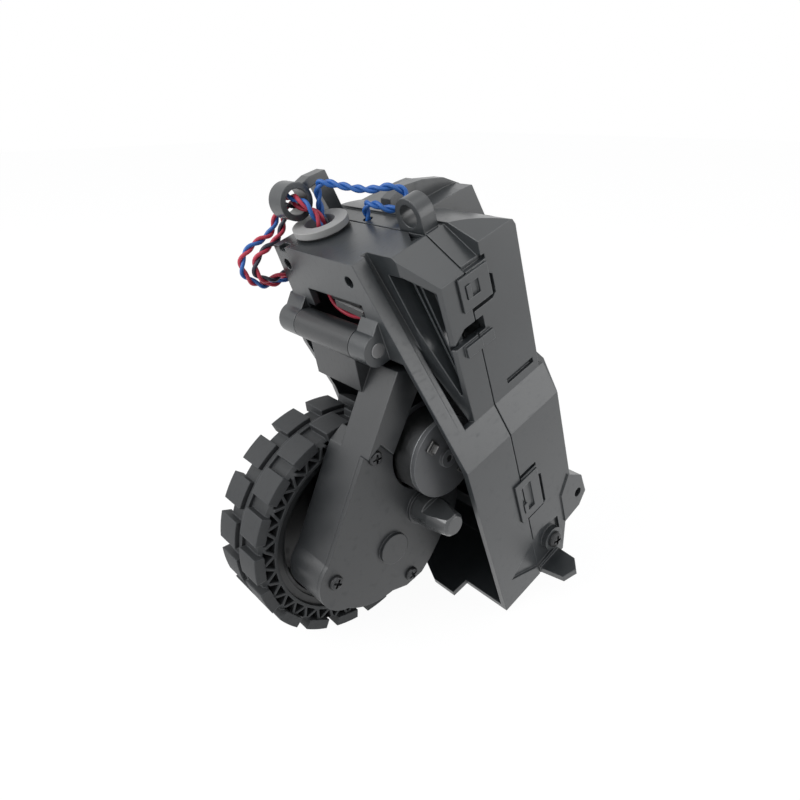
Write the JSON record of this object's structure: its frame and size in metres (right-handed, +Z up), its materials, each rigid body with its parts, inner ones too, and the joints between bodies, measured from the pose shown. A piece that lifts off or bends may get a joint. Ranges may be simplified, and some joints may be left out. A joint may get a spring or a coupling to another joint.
{
  "type": "robot vacuum wheel module",
  "caption": "Sprung drive wheel module: a two-part black casing, a hinged gearbox arm with motor and a lugged rubber wheel.",
  "frame": {"origin": "on the floor, under the middle of the box round the module without its leads", "axes": "+Z up, +X from the wheel towards the back of the casing, +Y from the gearbox side towards the wheel side; the axle, the hinge pin and the motor lie along Y"},
  "size_m": [0.1132, 0.0736, 0.1373],
  "materials": {
    "casing_plastic": "satin moulded ABS",
    "arm_plastic": "satin moulded ABS",
    "peg_plastic": "satin",
    "grommet_rubber": "matt",
    "switch_plastic": "matt",
    "spring_steel": "bright",
    "black_screw": "blackened",
    "steel": "bright",
    "motor_steel": "plated",
    "end_cap_plastic": "matt",
    "magnet": "matt",
    "brass": "turned",
    "gear_plastic": "satin acetal",
    "tyre_rubber": "matt",
    "rim_plastic": "satin",
    "lead_insulation": "satin",
    "lead_insulation_red": "satin",
    "plug_plastic": "satin"
  },
  "bodies": {
    "casing": {"front_shell": "casing_plastic", "rear_shell": "casing_plastic", "hinge_pin": "steel", "wire_grommet": "grommet_rubber", "drop_switch": "switch_plastic", "torsion_spring": "spring_steel", "boss_screw": "black_screw", "lead_plug": "plug_plastic", "outer_lead_pair": "lead_insulation", "inner_lead_pair": "lead_insulation_red", "switch_lead_pair": "lead_insulation"},
    "drop_lever": {"switch_lever": "spring_steel"},
    "swing_arm": {"gearbox_housing": "arm_plastic", "gearbox_cover": "arm_plastic", "cover_screws": "black_screw", "motor_screws": "steel", "stop_peg": "peg_plastic", "motor_can": "motor_steel", "motor_end_cap": "end_cap_plastic", "motor_magnets": "magnet", "gear_shafts": "steel", "axle_bush": "brass", "axle_bearing": "steel"},
    "rotor": {"motor_rotor": "motor_steel", "motor_pinion": "brass"},
    "first_stage": {"first_gear": "gear_plastic"},
    "second_stage": {"second_gear": "gear_plastic"},
    "wheel": {"tyre": "tyre_rubber", "wheel_rim": "rim_plastic", "wheel_axle": "steel", "output_gear": "gear_plastic", "wheel_screw": "steel"}
  },
  "joints": [
    {"name": "arm_swing", "type": "hinge", "parent": "casing", "child": "swing_arm", "pos_m": [-0.02189, 0.0138, 0.09709], "axis": [0, -1, 0], "range_deg": [0, 36], "stiffness_Nm_per_rad": 0.35, "springref_deg": -40.11},
    {"name": "wheel_spin", "type": "hinge", "parent": "swing_arm", "child": "wheel", "pos_m": [-0.02064, 0.0186, 0.036], "axis": [0, 1, 0], "continuous": true},
    {"name": "second_gear_spin", "type": "hinge", "parent": "swing_arm", "child": "second_stage", "pos_m": [-0.00784, 0.0006, 0.04457], "axis": [0, 1, 0], "continuous": true},
    {"name": "first_gear_spin", "type": "hinge", "parent": "swing_arm", "child": "first_stage", "pos_m": [-0.01494, 0.0039, 0.05504], "axis": [0, 1, 0], "continuous": true},
    {"name": "rotor_spin", "type": "hinge", "parent": "swing_arm", "child": "rotor", "pos_m": [-0.00653, -0.0067, 0.06428], "axis": [0, 1, 0], "continuous": true},
    {"name": "drop_lever_press", "type": "hinge", "parent": "casing", "child": "drop_lever", "pos_m": [-0.01532, 0.0175, 0.10547], "axis": [-0.9478, 0, -0.319], "range_deg": [0, 5], "stiffness_Nm_per_rad": 0.002, "springref_deg": -20.05}
  ],
  "couplings": [
    {"joint": "second_gear_spin", "follows": "wheel_spin", "ratio": -2.6667},
    {"joint": "first_gear_spin", "follows": "wheel_spin", "ratio": 7.5556},
    {"joint": "rotor_spin", "follows": "wheel_spin", "ratio": -30.222}
  ]
}
